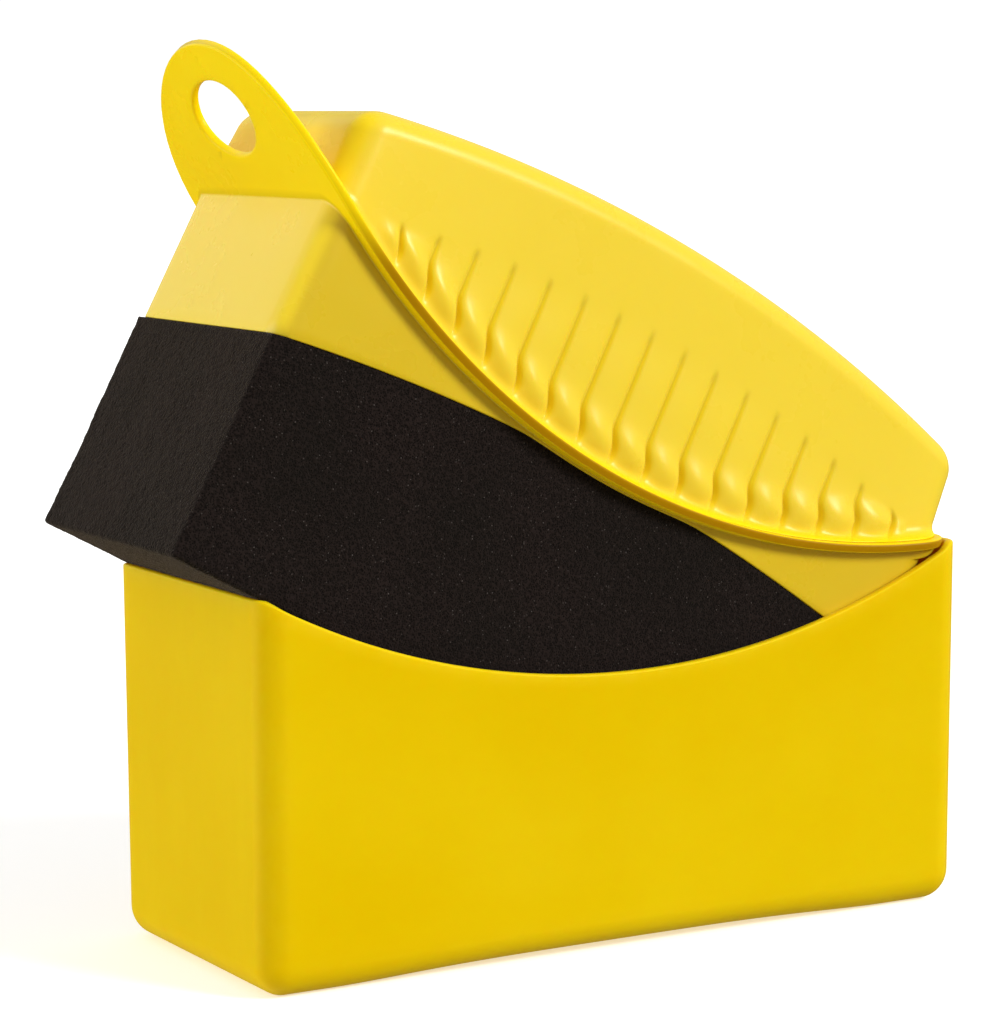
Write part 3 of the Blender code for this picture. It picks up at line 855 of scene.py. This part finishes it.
def make_pad():
    """The foam block: arched under the skirt, cut square, with a rough open surface."""
    unit, faces = block_grid((234, 90, 86))
    half = np.array([PAD_HALF_LENGTH, PAD_HALF_WIDTH, 0.025])
    points = rounded_block(unit, half, PAD_EDGE_RADIUS)
    x, y = points[:, 0], points[:, 1]
    share = (points[:, 2] / half[2] + 1) / 2
    inside = np.minimum(PAD_HALF_LENGTH - np.abs(x), PAD_HALF_WIDTH - np.abs(y))
    lip = smooth_step((PAD_LIP_WIDTH - inside) / 0.0004)
    top = skirt_rim(x) - PAD_TOP_DROP + PAD_LIP * lip
    points[:, 2] = PAD_BOTTOM_Z + (top - PAD_BOTTOM_Z) * share
    waist = np.sin(math.pi * np.clip(share, 0, 1))
    points[:, 1] *= 1.0 - PAD_SIDE_WAIST * waist * (1 - (x / PAD_HALF_LENGTH) ** 2)
    points[:, 0] *= 1.0 - PAD_END_WAIST * waist
    obj = mesh_object("foam_block", points, faces)
    normals = vertex_values(obj.data, "normal", np.float32)
    rough = 0.5 * value_noise(points, 0.0012, 3) + 0.5 * value_noise(points, 0.0006, 7)
    broad = value_noise(points, 0.011, 11)
    quiet = 1.0 - 0.8 * smooth_step((share - 0.96) / 0.03)
    points += normals * ((rough * 0.00016 - 0.00006 + broad * 0.00018) * quiet)[:, None]
    obj.data.vertices.foreach_set("co", points.ravel())
    obj.data.transform(leaned())
    obj.data.update()
    obj.data.shade_smooth()
    return obj


# ---------------------------------------------------------------- materials


class Shader:
    """A material's node tree, built with short calls."""

    def __init__(self, name):
        self.material = bpy.data.materials.new(name)
        self.material.use_nodes = True
        self.tree = self.material.node_tree
        self.surface = self.tree.nodes["Principled BSDF"]
        self.place = self.node("ShaderNodeTexCoord").outputs["Object"]

    def node(self, kind, inputs=(), **settings):
        made = self.tree.nodes.new(kind)
        for name, value in settings.items():
            setattr(made, name, value)
        for name, value in dict(inputs).items():
            self.put(made.inputs[name], value)
        return made

    def put(self, socket, value):
        if isinstance(value, bpy.types.NodeSocket):
            self.tree.links.new(value, socket)
        else:
            socket.default_value = value

    def set(self, **inputs):
        for name, value in inputs.items():
            self.put(self.surface.inputs[name.replace("_", " ")], value)

    def cover(self, name, share, colour):
        """Mixes a colour over what is linked to one of the surface's inputs."""
        under = self.surface.inputs[name].links[0].from_socket
        self.put(self.surface.inputs[name], self.mix(share, under, colour))

    def noise(self, scale, detail=2.0, rough=0.5, vector=None):
        made = self.node(
            "ShaderNodeTexNoise",
            {"Vector": vector or self.place, "Scale": scale, "Detail": detail, "Roughness": rough},
        )
        return made.outputs["Fac"]

    def cells(self, scale, vector=None):
        return self.node("ShaderNodeTexVoronoi", {"Vector": vector or self.place, "Scale": scale})

    def attribute(self, name):
        return self.node("ShaderNodeAttribute", attribute_name=name).outputs["Fac"]

    def range(self, value, low, high, start=0.0, end=1.0):
        made = self.node(
            "ShaderNodeMapRange",
            {"Value": value, "From Min": low, "From Max": high, "To Min": start, "To Max": end},
        )
        return made.outputs["Result"]

    def math(self, operation, first, second=0.0):
        made = self.node("ShaderNodeMath", operation=operation)
        self.put(made.inputs[0], first)
        self.put(made.inputs[1], second)
        return made.outputs[0]

    def mix(self, share, first, second):
        made = self.node("ShaderNodeMix", data_type="RGBA")
        self.put(made.inputs["Factor"], share)
        for name, value in (("A", first), ("B", second)):
            socket = [s for s in made.inputs if s.name == name and s.type == "RGBA"][0]
            self.put(socket, (*value, 1.0) if isinstance(value, tuple) else value)
        return [s for s in made.outputs if s.type == "RGBA"][0]

    def stretched(self, scale, turn=(0.0, 0.0, 0.0)):
        inputs = {"Vector": self.place, "Scale": scale, "Rotation": turn}
        return self.node("ShaderNodeMapping", inputs).outputs["Vector"]

    def bump(self, height, distance, strength=1.0, under=None):
        inputs = {"Height": height, "Distance": distance, "Strength": strength}
        if under is not None:
            inputs["Normal"] = under
        return self.node("ShaderNodeBump", inputs).outputs["Normal"]


def plastic(name, colour, deep, light, roughness, gloss, tint):
    """Moulded plastic: slow colour drift, fine grain, faint scuffs and painted shade darkening its
    hollows.
    """
    s = Shader(name)
    drift = s.range(s.noise(22.0, 3.0), 0.35, 0.65)
    shade = s.mix(drift, deep, colour)
    flow = s.noise(1.0, 4.0, 0.6, s.stretched((14.0, 90.0, 30.0), (0.2, 0.1, 0.5)))
    flow = s.range(flow, 0.45, 0.75)
    shade = s.mix(s.math("MULTIPLY", flow, 0.18), shade, light)
    scuff = s.noise(1.0, 3.0, 0.55, s.stretched((60.0, 900.0, 1500.0), (0.4, 0.7, 0.3)))
    scuff = s.range(scuff, 0.66, 0.74)
    patch = s.range(s.noise(60.0, 4.0, 0.6), 0.35, 0.7)
    scuff = s.math("MULTIPLY", scuff, patch)
    rough = s.math("ADD", s.math("MULTIPLY", patch, 0.10), roughness - 0.05)
    rough = s.math("ADD", rough, s.math("MULTIPLY", scuff, 0.04))
    # Painted shade: concave bends are darkened towards a deeper colour.
    hollow = s.math("MULTIPLY", s.attribute("hollow"), 0.45)
    shade = s.mix(hollow, shade, tuple(0.6 * c for c in deep))
    normal = s.bump(s.noise(55.0, 2.0), 0.00025, 0.5)
    normal = s.bump(s.noise(5200.0, 2.0, 0.6), 0.00002, 0.35, normal)
    s.set(Base_Color=shade, Roughness=rough, Normal=normal, IOR=1.46)
    s.set(Specular_IOR_Level=gloss, Specular_Tint=(*tint, 1.0))
    return s


def box_plastic():
    """The box's plastic. Its edges are worn a little paler."""
    s = plastic(
        "box_yellow_plastic",
        colour=(0.83, 0.55, 0.001),
        deep=(0.81, 0.52, 0.0),
        light=(0.93, 0.66, 0.01),
        roughness=0.38,
        gloss=0.15,
        tint=(1.0, 0.7, 0.1),
    )
    worn = s.range(s.noise(420.0, 4.0, 0.65), 0.30, 0.72)
    wear = s.math("MULTIPLY", s.attribute("edge"), worn)
    s.cover("Base Color", s.math("MULTIPLY", wear, 0.25), (0.93, 0.66, 0.03))
    s.set(Subsurface_Weight=0.5, Subsurface_Radius=(1.0, 0.55, 0.02), Subsurface_Scale=0.004)
    return s.material


def handle_plastic():
    """The handle's plastic: satin on the grip, painted a little paler there as if lit, with painted
    shade on the skirt and in deep amber along thin edges.
    """
    s = plastic(
        "handle_yellow_plastic",
        colour=(0.96, 0.71, 0.003),
        deep=(0.93, 0.67, 0.002),
        light=(0.97, 0.76, 0.02),
        roughness=0.30,
        gloss=GLOSS["flange"],
        tint=(1.0, 0.95, 0.8),
    )
    gloss = GLOSS["flange"]
    for name, share, shade in (
        # Painted light: the grip is painted paler, as if lit.
        ("dome", 0.70, (0.83, 0.610, 0.056)),
        # Painted shade: the skirt, under the flange, is painted darker.
        ("skirt", 0.75, (0.62, 0.42, 0.016)),
        # Painted light: the skirt's end that faces left is painted back to a lit colour.
        ("end", 0.90, (0.93, 0.69, 0.020)),
        # Painted shade: the flange's thin edge is painted deep amber.
        ("rim", 0.90, (0.36, 0.155, 0.001)),
    ):
        place = s.attribute(name)
        s.cover("Base Color", s.math("MULTIPLY", place, share), shade)
        gloss = s.math("ADD", gloss, s.math("MULTIPLY", place, GLOSS[name]))
    s.set(Specular_IOR_Level=gloss)
    s.set(Subsurface_Weight=0.25, Subsurface_Radius=(1.0, 0.55, 0.05), Subsurface_Scale=0.0014)
    return s.material


def plate_plastic():
    s = plastic(
        "plate_yellow_plastic",
        colour=(0.80, 0.52, 0.01),
        deep=(0.74, 0.46, 0.008),
        light=(0.90, 0.66, 0.06),
        roughness=0.5,
        gloss=0.4,
        tint=(1.0, 0.9, 0.6),
    )
    return s.material


def foam():
    """Open-cell foam: dark pores between thin struts, with a few cell walls that catch light."""
    s = Shader("black_foam")
    wobble = s.node("ShaderNodeVectorMath", {0: s.place}, operation="ADD")
    offset = s.node("ShaderNodeVectorMath", operation="SCALE")
    noise = s.node("ShaderNodeTexNoise", {"Vector": s.place, "Scale": 1800.0, "Detail": 1.0})
    s.put(offset.inputs[0], noise.outputs["Color"])
    offset.inputs["Scale"].default_value = 0.0002
    s.put(wobble.inputs[1], offset.outputs[0])
    place = wobble.outputs[0]
    fine = s.cells(2600.0, place).outputs["Distance"]
    large = s.cells(1100.0, place).outputs["Distance"]
    pore = s.range(fine, 0.10, 0.62)
    wide = s.range(large, 0.15, 0.60)
    struts = s.math("MULTIPLY", pore, s.math("ADD", s.math("MULTIPLY", wide, 0.5), 0.5))
    shade = s.mix(struts, (0.0022, 0.0014, 0.0012), (0.0170, 0.0112, 0.0098))
    drift = s.range(s.noise(45.0, 4.0, 0.6), 0.35, 0.65)
    shade = s.mix(s.math("MULTIPLY", drift, 0.35), shade, (0.0055, 0.0055, 0.0040))
    speck = s.node("ShaderNodeSeparateColor", {"Color": s.cells(1900.0).outputs["Color"]})
    bright = s.range(speck.outputs[0], 0.88, 1.0)
    size = s.range(s.cells(1900.0).outputs["Distance"], 0.34, 0.10)
    glint = s.math("MULTIPLY", bright, size)
    shade = s.mix(glint, shade, (0.090, 0.076, 0.070))
    height = s.math("ADD", s.math("MULTIPLY", struts, 0.8), s.math("MULTIPLY", glint, 0.4))
    normal = s.bump(s.noise(700.0, 3.0, 0.6), 0.0003, 0.5)
    normal = s.bump(height, 0.00022, 0.85, normal)
    s.set(Base_Color=shade, Roughness=0.94, Normal=normal, Specular_IOR_Level=0.06)
    s.set(Sheen_Weight=0.15, Sheen_Roughness=0.35, Sheen_Tint=(1.0, 0.84, 0.76, 1.0))
    return s.material


def adhesive():
    """A dried film of contact adhesive, uneven and slightly amber."""
    s = Shader("contact_adhesive")
    blotch = s.range(s.noise(160.0, 4.0, 0.6), 0.35, 0.65)
    shade = s.mix(blotch, (0.20, 0.14, 0.05), (0.42, 0.34, 0.18))
    normal = s.bump(s.noise(380.0, 3.0), 0.0002, 0.6)
    rough = s.range(blotch, 0.0, 1.0, 0.28, 0.55)
    s.set(Base_Color=shade, Roughness=rough, Normal=normal)
    return s.material


def floor_material():
    s = Shader("floor_pale")
    shade = s.mix(s.noise(3.0, 2.0), (0.93, 0.93, 0.93), (0.95, 0.95, 0.95))
    s.set(Base_Color=shade, Roughness=0.9, Specular_IOR_Level=0.1)
    s.set(Emission_Color=(1.0, 1.0, 1.0, 1.0), Emission_Strength=0.42)
    return s.material


def paint(obj, material):
    obj.data.materials.clear()
    obj.data.materials.append(material)


def paint_node(obj, material):
    for one in obj.material_slots:
        one.material = material


# ---------------------------------------------------------------- studio


def make_floor():
    """A wide floor just under the box. Light passes through it, so it casts and returns none."""
    corners = ((-1, -1), (1, -1), (1, 1), (-1, 1))
    points = [(FLOOR_HALF_SIDE * x, FLOOR_HALF_SIDE * y, -0.0001) for x, y in corners]
    obj = mesh_object("floor", points, [(0, 1, 2, 3)])
    paint(obj, floor_material())
    obj.visible_diffuse = False
    obj.visible_glossy = False
    obj.visible_shadow = False


def make_sun(name, direction, strength, angle, colour=(1.0, 1.0, 1.0)):
    light = bpy.data.lights.new(name, "SUN")
    light.energy = strength
    light.angle = math.radians(angle)
    light.color = colour
    obj = bpy.data.objects.new(name, light)
    bpy.context.scene.collection.objects.link(obj)
    obj.rotation_mode = "QUATERNION"
    obj.rotation_quaternion = Vector(direction).to_track_quat("Z", "Y")


def make_world():
    """White behind the object, and for lighting it a sky that is bright above and dark below."""
    world = bpy.data.worlds.new("studio")
    world.use_nodes = True
    nodes, links = world.node_tree.nodes, world.node_tree.links
    sky = nodes["Background"]
    height = nodes.new("ShaderNodeSeparateXYZ")
    links.new(nodes.new("ShaderNodeTexCoord").outputs["Generated"], height.inputs[0])
    level = nodes.new("ShaderNodeMapRange")
    level.interpolation_type = "SMOOTHSTEP"
    ends = {"From Min": -0.25, "From Max": 0.35, "To Min": SKY_LOW, "To Max": SKY_HIGH}
    for name, value in ends.items():
        level.inputs[name].default_value = value
    links.new(height.outputs["Z"], level.inputs["Value"])
    links.new(level.outputs["Result"], sky.inputs["Strength"])
    bright = nodes.new("ShaderNodeBackground")
    bright.inputs["Strength"].default_value = BACKDROP
    for one in (sky, bright):
        one.inputs["Color"].default_value = (1.0, 1.0, 1.0, 1.0)
    either = nodes.new("ShaderNodeMixShader")
    links.new(nodes.new("ShaderNodeLightPath").outputs["Is Camera Ray"], either.inputs[0])
    links.new(sky.outputs[0], either.inputs[1])
    links.new(bright.outputs[0], either.inputs[2])
    links.new(either.outputs[0], nodes["World Output"].inputs["Surface"])
    bpy.context.scene.world = world


def make_camera():
    flat = math.cos(CAMERA_ELEVATION)
    away = (math.sin(CAMERA_AZIMUTH) * flat, -math.cos(CAMERA_AZIMUTH) * flat)
    back = Vector((*away, math.sin(CAMERA_ELEVATION)))
    data = bpy.data.cameras.new("camera")
    data.sensor_width = 36.0
    data.lens = CAMERA_LENS
    data.clip_start = 0.01
    data.clip_end = 200.0
    obj = bpy.data.objects.new("camera", data)
    bpy.context.scene.collection.objects.link(obj)
    side = Vector((0.0, 0.0, 1.0)).cross(back).normalized()
    up = back.cross(side)
    right = side * math.cos(CAMERA_ROLL) + up * math.sin(CAMERA_ROLL)
    top = up * math.cos(CAMERA_ROLL) - side * math.sin(CAMERA_ROLL)
    place = Vector(CAMERA_TARGET) + back * CAMERA_DISTANCE
    obj.matrix_world = Matrix(
        (
            (right.x, top.x, back.x, place.x),
            (right.y, top.y, back.y, place.y),
            (right.z, top.z, back.z, place.z),
            (0.0, 0.0, 0.0, 1.0),
        )
    )
    bpy.context.scene.camera = obj


def make_studio():
    make_floor()
    make_world()
    make_sun("left", (-0.93, 0.32, 0.14), 1.5, 50.0)
    make_sun("table", (-0.45, 0.0, -0.89), 1.6, 90.0, (1.0, 0.92, 0.45))
    make_sun("back", (-0.35, 0.82, 0.45), 0.45, 60.0)
    make_sun("front", (0.48, -0.72, 0.50), 3.0, 22.0)
    make_camera()
    bpy.context.scene.view_settings.view_transform = "Standard"


def main():
    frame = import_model()

    box = make_box()
    paint(box, box_plastic())
    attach(box, "box")
    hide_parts("storage_box")

    handle = make_handle()
    paint(handle, handle_plastic())
    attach(handle, "applicator")
    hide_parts("handle_shell")

    pad = make_pad()
    paint(pad, foam())
    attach(pad, "applicator")
    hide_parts("sponge_pad")

    paint_node(frame["nodes"]["sponge_plate"], plate_plastic())
    paint_node(frame["nodes"]["adhesive_film"], adhesive())

    make_studio()


main()
